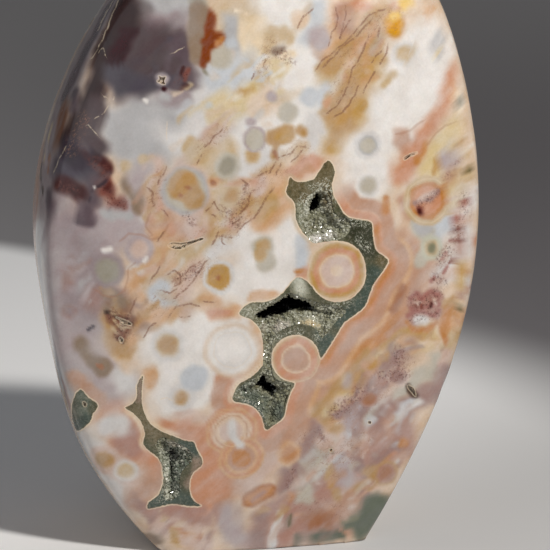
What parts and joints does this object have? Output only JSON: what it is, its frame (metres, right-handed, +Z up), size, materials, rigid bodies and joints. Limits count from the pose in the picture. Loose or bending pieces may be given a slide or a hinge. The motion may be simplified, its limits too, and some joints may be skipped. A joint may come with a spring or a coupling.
{
  "type": "polished ocean jasper freeform",
  "caption": "Upright polished ocean jasper freeform on a flat sawn base, with open crystal-lined hollows in its gently domed front face.",
  "frame": {"origin": "on the base plane, under the middle of the stone's bounding box", "axes": "+Z up through the height, -Y out of the front face with the hollows, +X to the right seen from the front"},
  "size_m": [0.0792, 0.0425, 0.1114],
  "materials": {
    "jasper": "polished",
    "druzy": "rough crystalline"
  },
  "bodies": {
    "root": {"stone": "jasper", "druzy_upper_hollow": "druzy", "druzy_central_hollow": "druzy", "druzy_left_hollow": "druzy"}
  },
  "joints": []
}
